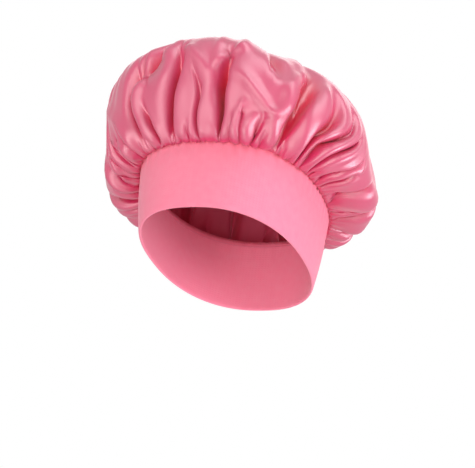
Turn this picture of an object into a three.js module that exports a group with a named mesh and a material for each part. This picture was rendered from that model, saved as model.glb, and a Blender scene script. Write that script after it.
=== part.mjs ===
import * as THREE from 'three';

// A satin bonnet: one circle of satin, gathered and sewn to a wide stretch-knit headband.
// Lengths are millimetres. +Z runs up through the crown, -Y is the front, +X the wearer's left.
// The origin is the middle of the head opening, in the plane of the rim.

// headband: one strip of knit, folded double with the fold at the rim
const rimHalfWidth = 73;
const rimHalfLength = 98.7;
const bandHeight = 62;
const seamHalfWidth = 81.4;
const seamHalfLength = 96.9;
const seamSetForward = 6.4;
const ovalPower = 2.315;
const knitThickness = 0.9;
const plyGap = 1.1;
const rimBevel = 0.5;

// seam: raw edges of both knit plies and of the satin stand up together inside the crown
const seamAllowance = 6.2;
const clearance = 0.3;
const threadThickness = 0.5;
const loopGroove = 0.2;
const stitchPitch = 4.8;
const stitchDip = 0.2;

// crown: how far it stands out from the seam, how high it is widest and how low it hangs
const satinThickness = 1;
const frontPuff = 25.4;
const sidePuff = 44.8;
const backPuff = 23;
const frontWidestHeight = 121;
const sideWidestHeight = 84.7;
const backWidestHeight = 84.9;
const widestTilt = 15;
const crownHeight = 172.9;
const hemDroop = 1.5;
const sideDroop = 5.6;
const backDroop = 0.5;
const droopTilt = 7.7;
const domePower = 2.5;
const forwardLeanShare = 0.123;
const frontHangShare = 0.2;
const sideHangShare = 0.5;
const foldDepth = 13.5;
const dentDepth = 10;
const crestShare = 0.12;
const shoulderShare = 0.29;
const facetLift = 2.2;
const templeShares = [-0.85, 0];
const openingShares = [0.02, 0.15];
const fadingShares = [0.6, 1.3];

// Gathers: place in degrees round the seam, lean in degrees by leanTopShare of the way up, and
// shares of foldDepth and of the way from the seam to the top. 0 is the wearer's left, 270 the front.
const leanTopShare = 0.3;
const foldShares = [
  { place: 12, lean: -6, depth: 0.7, reach: 0.26 },
  { place: 27, lean: -7, depth: 0.7, reach: 0.28 },
  { place: 38, lean: 5, depth: 0.6, reach: 0.24 },
  { place: 50, lean: -4, depth: 0.7, reach: 0.28 },
  { place: 64, lean: 3, depth: 0.8, reach: 0.44 },
  { place: 76, lean: 3, depth: 0.7, reach: 0.28 },
  { place: 87, lean: 1, depth: 0.9, reach: 0.44 },
  { place: 100, lean: -4, depth: 0.7, reach: 0.28 },
  { place: 112, lean: -1, depth: 0.9, reach: 0.44 },
  { place: 124, lean: 0, depth: 0.7, reach: 0.28 },
  { place: 137, lean: -3, depth: 0.9, reach: 0.44 },
  { place: 149, lean: 2, depth: 0.7, reach: 0.28 },
  { place: 162, lean: -4, depth: 0.75, reach: 0.44 },
  { place: 174, lean: -1, depth: 0.7, reach: 0.28 },
  { place: 189, lean: 1, depth: 0.6, reach: 0.24 },
  { place: 201, lean: 14, depth: 0.9, reach: 0.28 },
  { place: 240, lean: -4, depth: 0.45, reach: 0.42 },
  { place: 250, lean: -5, depth: 0.7, reach: 0.26 },
  { place: 257, lean: 4, depth: 1, reach: 0.46 },
  { place: 271, lean: 0, depth: 0.4, reach: 0.33 },
  { place: 281, lean: -1, depth: 1, reach: 0.4 },
  { place: 291, lean: 0, depth: 0.6, reach: 0.16 },
  { place: 308, lean: 8, depth: 1, reach: 0.6 },
  { place: 322, lean: 9, depth: 0.8, reach: 0.44 },
  { place: 333, lean: 10, depth: 0.7, reach: 0.34 },
  { place: 344, lean: 3, depth: 0.8, reach: 0.26 },
];
// Broad dents in the puffed satin: place and half width in degrees, and shares of dentDepth and of
// the way up where each begins, is full and ends.
const dentShares = [
  { place: 204, width: 17, depth: 0.9, from: 0.12, full: 0.28, to: 0.46 },
  { place: 247, width: 12, depth: 0.6, from: 0.34, full: 0.5, to: 0.68 },
  { place: 303, width: 16, depth: 0.6, from: 0.32, full: 0.52, to: 0.76 },
  { place: 9, width: 18, depth: 1, from: 0.16, full: 0.34, to: 0.54 },
  { place: 75, width: 20, depth: 0.7, from: 0.3, full: 0.5, to: 0.7 },
  { place: 130, width: 22, depth: 0.7, from: 0.34, full: 0.5, to: 0.7 },
];

const rawEdgeHeight = bandHeight + seamAllowance;
const foldedThickness = 2 * knitThickness + plyGap;

// radius of the head's oval in one direction
function ovalRadius(halfWidth, halfLength, turn) {
  const across = Math.abs(Math.cos(turn)) / halfWidth;
  const along = Math.abs(Math.sin(turn)) / halfLength;
  return (across ** ovalPower + along ** ovalPower) ** (-1 / ovalPower);
}

// a closed skin through rings of points, ordered so that its faces point out
// with poles the first and last rings shrink to points, and without them the skin is a closed tube
function loft(rings, poles) {
  const points = rings.flat();
  const columns = rings[0].length;
  const triangles = [];
  const at = (ring, column) => (ring % rings.length) * columns + (column % columns);
  const lastBand = poles ? rings.length - 1 : rings.length;
  for (let ring = 0; ring < lastBand; ring++) {
    for (let column = 0; column < columns; column++) {
      triangles.push(at(ring, column), at(ring, column + 1), at(ring + 1, column + 1));
      triangles.push(at(ring, column), at(ring + 1, column + 1), at(ring + 1, column));
    }
  }
  if (poles) {
    const first = points.push(poles.first) - 1;
    const last = points.push(poles.last) - 1;
    for (let column = 0; column < columns; column++) {
      triangles.push(first, at(0, column + 1), at(0, column));
      triangles.push(last, at(rings.length - 1, column), at(rings.length - 1, column + 1));
    }
  }
  const geometry = new THREE.BufferGeometry().setFromPoints(points);
  geometry.setIndex(triangles);
  geometry.computeVertexNormals();
  return geometry;
}

// the columns of the gathered satin: each gather's floor, and the two shoulders before the next
const columns = foldShares.flatMap((fold, index) => {
  const next = foldShares[(index + 1) % foldShares.length];
  const gap = (next.place - fold.place + 360) % 360;
  const shoulder = (share) => ({
    place: fold.place + gap * share,
    lean: THREE.MathUtils.lerp(fold.lean, next.lean, share),
    depth: -crestShare * THREE.MathUtils.lerp(fold.depth, next.depth, share),
    reach: THREE.MathUtils.lerp(fold.reach, next.reach, share),
  });
  return [fold, shoulder(shoulderShare), shoulder(1 - shoulderShare)];
});
const columnTurns = columns.map((column) => THREE.MathUtils.degToRad(column.place));

// Headband. A point on it lies so far in from its outer face, at a height over the rim.
function bandPoint(turn, depth, height) {
  const share = Math.min(height / bandHeight, 1);
  const rim = ovalRadius(rimHalfWidth, rimHalfLength, turn);
  const seam = ovalRadius(seamHalfWidth, seamHalfLength, turn);
  const radius = THREE.MathUtils.lerp(rim, seam, share) - depth;
  const forward = seamSetForward * share;
  return new THREE.Vector3(radius * Math.cos(turn), radius * Math.sin(turn) - forward, height);
}

function headbandGeometry() {
  const innerPly = knitThickness + plyGap;
  const section = [
    [0, rimBevel],
    [0, bandHeight],
    [0, rawEdgeHeight],
    [knitThickness, rawEdgeHeight],
    [knitThickness, bandHeight],
    [knitThickness, knitThickness],
    [innerPly, knitThickness],
    [innerPly, bandHeight],
    [innerPly, rawEdgeHeight],
    [foldedThickness, rawEdgeHeight],
    [foldedThickness, bandHeight],
    [foldedThickness, rimBevel],
    [foldedThickness - rimBevel, 0],
    [rimBevel, 0],
  ];
  return loft(section.map(([depth, height]) => columnTurns.map((turn) => bandPoint(turn, depth, height))));
}

// Crown outline. along is -1 at the front and 1 at the back.
function round(front, side, back, along) {
  const end = along < 0 ? front : back;
  return THREE.MathUtils.lerp(side, end, along * along);
}

// satin at one turn: it hangs under the seam, swells out at the side and closes over the dome.
// The skin's corners stand facetLift further out, so that its flat facets lie near the round satin.
function crownPoint(turn, stretch, share) {
  const across = Math.cos(turn);
  const along = Math.sin(turn);
  const seam = ovalRadius(seamHalfWidth, seamHalfLength, turn) + clearance;
  const puff = round(frontPuff, sidePuff, backPuff, along);
  const wideRadius = seam + puff;
  const lowRadius = seam + puff * round(frontHangShare, sideHangShare, sideHangShare, along);
  const wideHeight = round(frontWidestHeight, sideWidestHeight, backWidestHeight, along) - widestTilt * across;
  const behindTemple = THREE.MathUtils.smoothstep(along, ...templeShares);
  const sideways = round(sideDroop, sideDroop, backDroop, along) - droopTilt * across * (1 - along * along);
  const droop = hemDroop + behindTemple * sideways;
  const lowHeight = bandHeight - droop;
  const angle = share * Math.PI / 2;
  let radius = wideRadius * Math.cos(angle) ** (2 / domePower);
  let height = wideHeight + (crownHeight - wideHeight) * Math.sin(angle) ** (2 / domePower);
  if (stretch === 'hang') {
    radius = THREE.MathUtils.lerp(lowRadius, seam, Math.cos(angle));
    height = bandHeight - droop * Math.sin(angle);
  }
  if (stretch === 'side') {
    radius = THREE.MathUtils.lerp(lowRadius, wideRadius, Math.sin(angle));
    height = THREE.MathUtils.lerp(wideHeight, lowHeight, Math.cos(angle));
  }
  const forward = seamSetForward + forwardLeanShare * Math.max(height - bandHeight, 0);
  return new THREE.Vector3(radius * across, radius * along - forward, height);
}

// depth of a broad dent at a place and share of the way up
function dent(place, way) {
  return dentShares.reduce((sum, one) => {
    const away = Math.abs((place - one.place + 540) % 360 - 180) / one.width;
    const rise = THREE.MathUtils.smoothstep(way, one.from, one.full);
    const fall = 1 - THREE.MathUtils.smoothstep(way, one.full, one.to);
    const cross = 1 - THREE.MathUtils.smoothstep(away, 0, 1);
    return sum + dentDepth * one.depth * rise * fall * cross;
  }, 0);
}

// One column of the satin's right side, from the raw edge down to the seam, then out and up.
const crownStations = [
  ['hang', 1],
  ['side', 0.5],
  ['side', 1],
  ['dome', 0.24],
  ['dome', 0.5],
  ['dome', 0.78],
];
const apex = crownPoint(columnTurns[0], 'dome', 1);

function crownColumn(column) {
  const seamTurn = THREE.MathUtils.degToRad(column.place);
  const smooth = (lean) => crownStations.map(([stretch, share], index) => {
    const turn = THREE.MathUtils.degToRad(column.place + (lean ? lean[index] : 0));
    return crownPoint(turn, stretch, share);
  });
  const start = crownPoint(seamTurn, 'hang', 0);
  const straight = [start, ...smooth(), apex];
  const steps = straight.slice(1).map((point, index) => point.distanceTo(straight[index]));
  const length = steps.reduce((sum, step) => sum + step, 0);
  const ways = steps.map((_, index) => steps.slice(0, index + 1).reduce((sum, step) => sum + step, 0) / length);
  const leans = ways.map((way) => column.lean * Math.min(way / leanTopShare, 1));
  const leaning = [start, ...smooth(leans), apex];
  const skin = crownStations.map((_, index) => {
    const place = column.place + leans[index];
    const turn = THREE.MathUtils.degToRad(place);
    const ahead = new THREE.Vector3(-Math.sin(turn), Math.cos(turn), 0);
    const up = leaning[index + 2].clone().sub(leaning[index]);
    const outward = ahead.cross(up).normalize();
    const opening = THREE.MathUtils.smoothstep(ways[index], ...openingShares);
    const fading = 1 - THREE.MathUtils.smoothstep(ways[index] / column.reach, ...fadingShares);
    const depth = foldDepth * column.depth * opening * fading + dent(place, ways[index]);
    return leaning[index + 1].clone().addScaledVector(outward, facetLift * opening - depth);
  });
  const edge = bandPoint(seamTurn, -clearance, rawEdgeHeight);
  return [edge, start, ...skin];
}

function crownGeometry() {
  const right = columns.map(crownColumn);
  const ringCount = right[0].length;
  const side = (ring, column) => right[(column + columns.length) % columns.length][ring];
  // the satin's wrong side lies one thickness behind its right side, along the skin's normal
  const wrong = right.map((points, column) => points.map((point, ring) => {
    const turn = columnTurns[column];
    const outside = new THREE.Vector3(Math.cos(turn), Math.sin(turn), 0);
    if (ring === 0) {
      return point.clone().addScaledVector(outside, satinThickness);
    }
    if (ring === 1) {
      const corner = outside.add(new THREE.Vector3(0, 0, 1));
      return point.clone().addScaledVector(corner, satinThickness);
    }
    const above = ring + 1 < ringCount ? points[ring + 1] : apex;
    const up = above.clone().sub(points[ring - 1]);
    const ahead = side(ring, column + 1).clone().sub(side(ring, column - 1));
    return point.clone().addScaledVector(ahead.cross(up).normalize(), -satinThickness);
  }));
  const ringOf = (skin, ring) => skin.map((points) => points[ring]);
  const order = right[0].map((_, ring) => ring);
  const rings = [
    ...order.toReversed().map((ring) => ringOf(wrong, ring)),
    ...order.map((ring) => ringOf(right, ring)),
  ];
  const innerApex = apex.clone().add(new THREE.Vector3(0, 0, -satinThickness));
  return loft(rings, { first: innerApex, last: apex });
}

// Threads. Stitches stand at equal steps along the faceted seam line.
function seamSteps(count) {
  const corners = columnTurns.map((turn) => bandPoint(turn, 0, bandHeight));
  const path = new THREE.CurvePath();
  corners.forEach((corner, index) => {
    path.add(new THREE.LineCurve3(corner, corners[(index + 1) % corners.length]));
  });
  return path.getSpacedPoints(count).slice(0, count);
}

const seamLength = 2 * Math.PI * Math.sqrt((seamHalfWidth ** 2 + seamHalfLength ** 2) / 2);
const stitchCount = Math.round(seamLength / stitchPitch);

// a closed ring whose section is given by offsets out from the seam line and up from it
function threadRing(count, sectionAt) {
  const steps = seamSteps(count);
  const sections = steps.map((step, index) => {
    const outside = new THREE.Vector3(step.x, step.y + seamSetForward, 0).normalize();
    return sectionAt(index).map(([out, up]) => step.clone().addScaledVector(outside, out).setZ(step.z + up));
  });
  const rings = sections[0].map((_, corner) => sections.map((section) => section[corner]));
  return loft(rings);
}

const satinWrongSide = clearance + satinThickness;
const innerFace = -foldedThickness - clearance;
const legFoot = 2 * satinThickness + threadThickness;

// overlock loops: they wrap all raw edges, a rib at each stitch and a groove between
function looperGeometry() {
  const outerFace = satinWrongSide + clearance;
  const top = seamAllowance + clearance;
  return threadRing(2 * stitchCount, (index) => {
    const thick = threadThickness - (index % 2) * loopGroove;
    return [
      [outerFace + thick, legFoot],
      [outerFace + thick, top + thick],
      [innerFace - thick, top + thick],
      [innerFace - thick, legFoot],
      [innerFace, legFoot],
      [innerFace, top],
      [outerFace, top],
      [outerFace, legFoot],
    ];
  });
}

// lockstitch row on the inner face of the band, dipping into the knit between stitches
function needleGeometry() {
  const low = clearance;
  return threadRing(2 * stitchCount, (index) => {
    const thick = threadThickness - (index % 2) * stitchDip;
    return [
      [innerFace, low],
      [innerFace, low + thick],
      [innerFace - thick, low + thick],
      [innerFace - thick, low],
    ];
  });
}

// the thread that draws the satin up, in the turn between its allowance and the crown
function gatheringGeometry() {
  const near = satinWrongSide + clearance;
  const low = satinThickness + clearance;
  const far = near + threadThickness;
  const high = low + threadThickness;
  return threadRing(stitchCount, () => [[far, low], [far, high], [near, high], [near, low]]);
}

// the seam that closes the strip into a loop, between the plies at the nape
function backSeamGeometry() {
  const nape = Math.PI / 2;
  const width = plyGap - 2 * clearance;
  const height = bandHeight - knitThickness - 2 * clearance;
  const low = bandPoint(nape, knitThickness + plyGap / 2, knitThickness + clearance);
  const high = bandPoint(nape, knitThickness + plyGap / 2, knitThickness + clearance + height);
  const path = new THREE.LineCurve3(low, high);
  const half = width / 2;
  const section = new THREE.Shape([
    new THREE.Vector2(-half, -half),
    new THREE.Vector2(half, -half),
    new THREE.Vector2(half, half),
    new THREE.Vector2(-half, half),
  ]);
  return new THREE.ExtrudeGeometry(section, { extrudePath: path, steps: 1, bevelEnabled: false });
}

const satin = { color: 0xe8788f, roughness: 0.3, metalness: 0 };
const knit = { color: 0xff8fa8, roughness: 0.9, metalness: 0 };
const thread = { color: 0xf0708c, roughness: 0.7, metalness: 0 };

const group = new THREE.Group();
function addPart(name, geometry, look) {
  const mesh = new THREE.Mesh(geometry, new THREE.MeshStandardMaterial(look));
  mesh.name = name;
  group.add(mesh);
}

addPart('crown_panel', crownGeometry(), satin);
addPart('headband', headbandGeometry(), knit);
addPart('overlock_looper_thread', looperGeometry(), thread);
addPart('seam_needle_thread', needleGeometry(), thread);
addPart('gathering_thread', gatheringGeometry(), thread);
addPart('back_seam_thread', backSeamGeometry(), thread);

export default group;
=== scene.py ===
# %% [markdown]
# # A satin bonnet with a wide knit band
# The object is two pieces of cloth and the threads that join them. A circle of satin is gathered
# round its edge and sewn to a loop of stretch knit, which is folded double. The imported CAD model
# gives the sizes and the place of every piece, and this script gives them their cloth.

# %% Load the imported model
import math

import bpy
import numpy as np
from mathutils import Matrix, Vector


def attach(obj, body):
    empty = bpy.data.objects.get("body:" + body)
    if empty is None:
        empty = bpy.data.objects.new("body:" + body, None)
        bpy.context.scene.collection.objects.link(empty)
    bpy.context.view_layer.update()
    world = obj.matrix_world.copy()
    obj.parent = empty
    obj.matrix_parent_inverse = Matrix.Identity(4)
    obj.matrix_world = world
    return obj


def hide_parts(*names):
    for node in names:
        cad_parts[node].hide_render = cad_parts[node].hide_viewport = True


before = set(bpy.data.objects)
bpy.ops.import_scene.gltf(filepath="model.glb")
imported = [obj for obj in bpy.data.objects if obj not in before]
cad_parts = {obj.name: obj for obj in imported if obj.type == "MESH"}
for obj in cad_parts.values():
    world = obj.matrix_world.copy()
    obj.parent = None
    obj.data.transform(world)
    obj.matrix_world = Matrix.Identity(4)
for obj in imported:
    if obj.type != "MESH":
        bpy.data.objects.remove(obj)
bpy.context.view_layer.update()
print("CAD nodes:", sorted(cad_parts))

# %% [markdown]
# ## Sizes
# All sizes are in millimetres, as a pattern maker would note them, and are turned to metres when a
# mesh is made. They repeat the named values of the CAD source.

# %% Sizes of the cap
MILLIMETRE = 0.001
rim_half_width, rim_half_length = 73.0, 98.7
seam_half_width, seam_half_length = 81.4, 96.9
seam_set_forward = 6.4
oval_power = 2.315
band_height = 62.0
seam_allowance = 6.2
raw_edge_height = band_height + seam_allowance
knit_thickness, ply_gap = 0.9, 1.1
satin_thickness = 0.3
front_puff, side_puff, back_puff = 25.4, 44.8, 23.0
front_widest, side_widest, back_widest = 121.0, 84.7, 84.9
widest_tilt = 15.0
crown_height = 172.9
hem_droop, side_droop, back_droop, droop_tilt = 1.5, 5.6, 0.5, 7.7
dome_power = 2.5
forward_lean_share = 0.123
front_hang_share, side_hang_share = 0.2, 0.5


def smooth_step(value, low, high):
    share = np.clip((value - low) / (high - low), 0, 1)
    return share * share * (3 - 2 * share)


def oval_radius(half_width, half_length, turn):
    across = np.abs(np.cos(turn) / half_width) ** oval_power
    along = np.abs(np.sin(turn) / half_length) ** oval_power
    return (across + along) ** (-1 / oval_power)


def round_the_head(front, side, back, along):
    end = np.where(along < 0, front, back)
    return side + (end - side) * along * along


# %% [markdown]
# ## One helper that makes cloth from rows
# Every sheet of the cap is a grid: rows that run round the head, one above the other. The helper
# joins them with four-sided faces and keeps a UV map in metres of flat cloth, so that a weave or a
# knit can follow the cloth wherever it folds.

# %% Cloth from rows of points
def new_object(name, data):
    thing = bpy.data.objects.new(name, data)
    bpy.context.collection.objects.link(thing)
    return thing


def cloth_from_rows(name, rows, flat, tip=None):
    """rows: points in mm, each row a closed ring. flat: where they lie in flat cloth, with one
    more column for the ring's end. tip: a point that closes the last row"""
    points = rows.reshape(-1, 3)
    number = np.arange(len(points)).reshape(rows.shape[:2])
    after = np.roll(number, -1, 1)
    faces = np.stack([number[:-1], after[:-1], after[1:], number[1:]], -1).reshape(-1, 4).tolist()
    corners = np.stack([flat[:-1, :-1], flat[:-1, 1:], flat[1:, 1:], flat[1:, :-1]], 2).reshape(-1, 2)
    if tip is not None:
        points = np.append(points, [tip], 0)
        faces += [(a, b, len(points) - 1) for a, b in zip(number[-1].tolist(), after[-1].tolist())]
        wedges = np.stack([flat[-1, :-1], flat[-1, 1:], 0 * flat[-1, 1:]], 1).reshape(-1, 2)
        corners = np.append(corners, wedges, 0)
    mesh = bpy.data.meshes.new(name)
    mesh.from_pydata((points * MILLIMETRE).tolist(), [], faces)
    layer = mesh.uv_layers.new(name="flat_cloth")
    layer.data.foreach_set("uv", corners.astype(np.float32).ravel() * MILLIMETRE)
    mesh.polygons.foreach_set("use_smooth", [True] * len(faces))
    return new_object(name, mesh)


def finish_modifiers(piece):
    """turns the piece's modifiers into plain mesh"""
    graph = bpy.context.evaluated_depsgraph_get()
    mesh = bpy.data.meshes.new_from_object(piece.evaluated_get(graph))
    piece.modifiers.clear()
    piece.data = mesh


# %% [markdown]
# ## Colours and nodes
# Colours are written as the hex values a designer would read off the cloth. One function turns them
# to the linear values that a shader works in, and one function adds a node with its settings.

# %% Colour and node helpers
def linear(hex_colour):
    parts = [int(hex_colour[i:i + 2], 16) / 255 for i in (1, 3, 5)]
    return tuple(p / 12.92 if p <= 0.04045 else ((p + 0.055) / 1.055) ** 2.4 for p in parts) + (1.0,)


def add_node(tree, kind, links=None, **settings):
    """settings: the node's properties, or its inputs where the name starts with in_.
    links: an input and the output that feeds it, or the node whose first output does"""
    node = tree.nodes.new(kind)
    for name, value in settings.items():
        if name.startswith("in_"):
            key = name[3:].replace("_", " ")
            node.inputs[int(key) if key.isdigit() else key].default_value = value
        else:
            setattr(node, name, value)
    for target, source in (links or {}).items():
        output = source.outputs[0] if isinstance(source, bpy.types.Node) else source
        tree.links.new(output, node.inputs[target])
    return node


def new_material(name):
    material = bpy.data.materials.new(name)
    material.use_nodes = True
    tree = material.node_tree
    tree.nodes.clear()
    return material, tree


# %% [markdown]
# ## The satin
# The crown is polyester satin: a weave in which long warp threads float over the weft, so the face
# mirrors light along one direction while the back is dull. A shiny, slightly directional surface
# with a very fine thread bump gives that. The real threads lie 0.1 mm apart, too fine to show, so
# the bump is drawn at 0.5 mm. Deep in a fold, light bounces from satin to satin and turns a fuller
# red; here that red is painted shade, mixed into the base colour where the folds are deep. An image
# of a weave would need a file, and this pattern stays sharp at any distance.

# %% Satin material
threads_per_metre, changes_per_metre = 2000, 260


def make_satin(name, lit_hex, painted_fold_shade_hex, roughness, anisotropic):
    material, tree = new_material(name)
    cloth = add_node(tree, "ShaderNodeUVMap", uv_map="flat_cloth")
    fold = add_node(tree, "ShaderNodeAttribute", attribute_name="fold")
    # painted shade: the fold attribute turns the lit colour to a fuller red deep in the folds
    painted_fold_shade_mix = add_node(tree, "ShaderNodeMix", {"Factor": fold.outputs["Fac"]}, data_type="RGBA",
                    in_6=linear(lit_hex), in_7=linear(painted_fold_shade_hex))
    # painted sheen: a slow random change of brightness, up to 4 %, stands for the satin's mottled sheen
    slow = add_node(tree, "ShaderNodeTexNoise", {"Vector": cloth}, in_Scale=14.0, in_Detail=3.0)
    spread = add_node(tree, "ShaderNodeMapRange", {"Value": slow}, in_3=0.96, in_4=1.04)
    hue = add_node(tree, "ShaderNodeHueSaturation", {"Color": painted_fold_shade_mix.outputs[2], "Value": spread})
    threads = add_node(tree, "ShaderNodeMapping", {"Vector": cloth},
                       in_Scale=(threads_per_metre, changes_per_metre, 1))
    weave = add_node(tree, "ShaderNodeTexNoise", {"Vector": threads}, in_Scale=1.0, in_Detail=2.0)
    bump = add_node(tree, "ShaderNodeBump", {"Height": weave}, in_Strength=0.12, in_Distance=0.0002)
    tangent = add_node(tree, "ShaderNodeTangent", direction_type="UV_MAP", uv_map="flat_cloth")
    satin = add_node(tree, "ShaderNodeBsdfPrincipled",
                     {"Base Color": hue, "Normal": bump, "Tangent": tangent}, in_Roughness=roughness,
                     in_Anisotropic=anisotropic, in_IOR=1.75, in_Specular_IOR_Level=1.0,
                     in_Sheen_Weight=0.15, in_Sheen_Roughness=0.4)
    add_node(tree, "ShaderNodeOutputMaterial", {"Surface": satin})
    return material


# the second colour of each is painted shade: the fuller red that light bounced inside a fold gives
satin_face = make_satin("satin_weave_polyester_face", "#D02B62", "#DE0E48", 0.38, 0.85)
satin_back = make_satin("satin_weave_polyester_back", "#DD5078", "#C8345A", 0.62, 0.2)
print("satin materials made")

# %% [markdown]
# ## The knit
# The band is a fine jersey of cotton and elastane. Its face shows upright rows of stitches, the
# wales, and it scatters light softly. Real wales lie about 0.6 mm apart. They are drawn 2.8 mm
# apart and the rows of loops 2.2 mm, so that a close look can find them, and two crossing waves
# leave the little bumps of the loops. The wave texture repeats every 2 pi / 20 of a unit.

# %% Knit material
wale_spacing, course_spacing = 2.827, 2.199
wave_repeat = 1000 * math.tau / 20


def make_knit(name, face_hex, shade_hex):
    material, tree = new_material(name)
    cloth = add_node(tree, "ShaderNodeUVMap", uv_map="flat_cloth")
    wales = add_node(tree, "ShaderNodeTexWave", {"Vector": cloth}, bands_direction="X",
                     in_Scale=wave_repeat / wale_spacing, in_Distortion=0.6, in_Detail=1.0)
    loops = add_node(tree, "ShaderNodeTexWave", {"Vector": cloth}, bands_direction="Y",
                     in_Scale=wave_repeat / course_spacing, in_Distortion=0.4, in_Detail=1.0)
    height = add_node(tree, "ShaderNodeMath", {0: wales.outputs["Fac"], 1: loops.outputs["Fac"]},
                      operation="MULTIPLY")
    bump = add_node(tree, "ShaderNodeBump", {"Height": height}, in_Strength=0.35, in_Distance=0.0003)
    mottle = add_node(tree, "ShaderNodeTexNoise", {"Vector": cloth}, in_Scale=160.0, in_Detail=5.0)
    shade = add_node(tree, "ShaderNodeMapRange", {"Value": mottle}, in_1=0.3, in_2=0.7)
    colour = add_node(tree, "ShaderNodeMix", {"Factor": shade}, data_type="RGBA",
                      in_6=linear(shade_hex), in_7=linear(face_hex))
    knit = add_node(tree, "ShaderNodeBsdfPrincipled", {"Base Color": colour.outputs[2], "Normal": bump},
                    in_Roughness=0.88, in_Specular_IOR_Level=0.25,
                    in_Sheen_Weight=0.25, in_Sheen_Roughness=0.5)
    add_node(tree, "ShaderNodeOutputMaterial", {"Surface": knit})
    return material


knit_jersey = make_knit("knit_jersey_cotton_elastane", "#FF8FA8", "#FF88A3")
print("knit material made")

# %% [markdown]
# ## The puffed shape under the folds
# First comes the smooth outline that the satin follows from above: it hangs a little under the seam,
# swells out at the sides and closes over the head. A line of it is drawn for every direction round
# the head, and then read back by "way", which runs from 0 at the seam to 1 at the crown's middle. A
# lathe or a sculpted ball would do for a cap that is the same all round, but this one leans.

# %% Smooth outline of the crown
def outline_lines(turns, hang_points=14, side_points=24, dome_points=60):
    across, along = np.cos(turns), np.sin(turns)
    seam = oval_radius(seam_half_width, seam_half_length, turns) + knit_thickness
    puff = round_the_head(front_puff, side_puff, back_puff, along)
    wide = seam + puff
    low = seam + puff * round_the_head(front_hang_share, side_hang_share, side_hang_share, along)
    widest = round_the_head(front_widest, side_widest, back_widest, along) - widest_tilt * across
    behind = smooth_step(along, -0.85, 0)
    hanging = round_the_head(side_droop, side_droop, back_droop, along)
    hanging -= droop_tilt * across * (1 - along ** 2)
    droop = hem_droop + behind * hanging
    hem = band_height - droop
    radii, heights = [], []
    for angle in np.linspace(0, np.pi / 2, hang_points):
        radii.append(low + (seam - low) * np.cos(angle))
        heights.append(band_height - droop * np.sin(angle))
    for angle in np.linspace(0, np.pi / 2, side_points)[1:]:
        radii.append(low + (wide - low) * np.sin(angle))
        heights.append(widest + (hem - widest) * np.cos(angle))
    for angle in np.linspace(0, np.pi / 2, dome_points)[1:]:
        radii.append(wide * max(np.cos(angle), 0) ** (2 / dome_power))
        heights.append(widest + (crown_height - widest) * np.sin(angle) ** (2 / dome_power))
    radii, heights = np.array(radii), np.array(heights)
    forward = seam_set_forward + forward_lean_share * np.maximum(heights - band_height, 0)
    return np.stack([radii * across, radii * along - forward, heights], -1)


class Outline:
    """points and outward directions of the smooth crown, read by turn (radians) and way (0 to 1)"""

    def __init__(self, turn_count=720, way_count=240):
        turns = np.linspace(0, 2 * np.pi, turn_count, endpoint=False)
        lines = outline_lines(turns)
        steps = np.linalg.norm(np.diff(lines, axis=0), axis=-1)
        runs = np.concatenate([np.zeros((1, turn_count)), np.cumsum(steps, 0)])
        self.length = runs[-1].mean()
        self.points = np.zeros((way_count, turn_count, 3))
        for t in range(turn_count):
            reach = np.linspace(0, runs[-1, t], way_count)
            for axis in range(3):
                self.points[:, t, axis] = np.interp(reach, runs[:, t], lines[:, t, axis])
        round_step = np.roll(self.points, -1, 1) - np.roll(self.points, 1, 1)
        outward = np.cross(round_step, np.gradient(self.points, axis=0))
        self.outward = outward / np.maximum(np.linalg.norm(outward, axis=-1, keepdims=True), 1e-9)
        self.outward[-1] = (0, 0, 1)

    def read(self, field, turn, way):
        way_count, turn_count = field.shape[:2]
        place = (turn % (2 * np.pi)) / (2 * np.pi) * turn_count
        left = np.floor(place).astype(int) % turn_count
        right = (left + 1) % turn_count
        between = (place - np.floor(place))[..., None]
        climb = np.clip(way, 0, 1) * (way_count - 1)
        under = np.minimum(np.floor(climb).astype(int), way_count - 2)
        rise = (climb - under)[..., None]
        low = field[under, left] * (1 - between) + field[under, right] * between
        high = field[under + 1, left] * (1 - between) + field[under + 1, right] * between
        return low * (1 - rise) + high * rise


outline = Outline()
cloth_radius = outline.length
print(f"the satin circle has a radius of {cloth_radius:.0f} mm")
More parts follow.
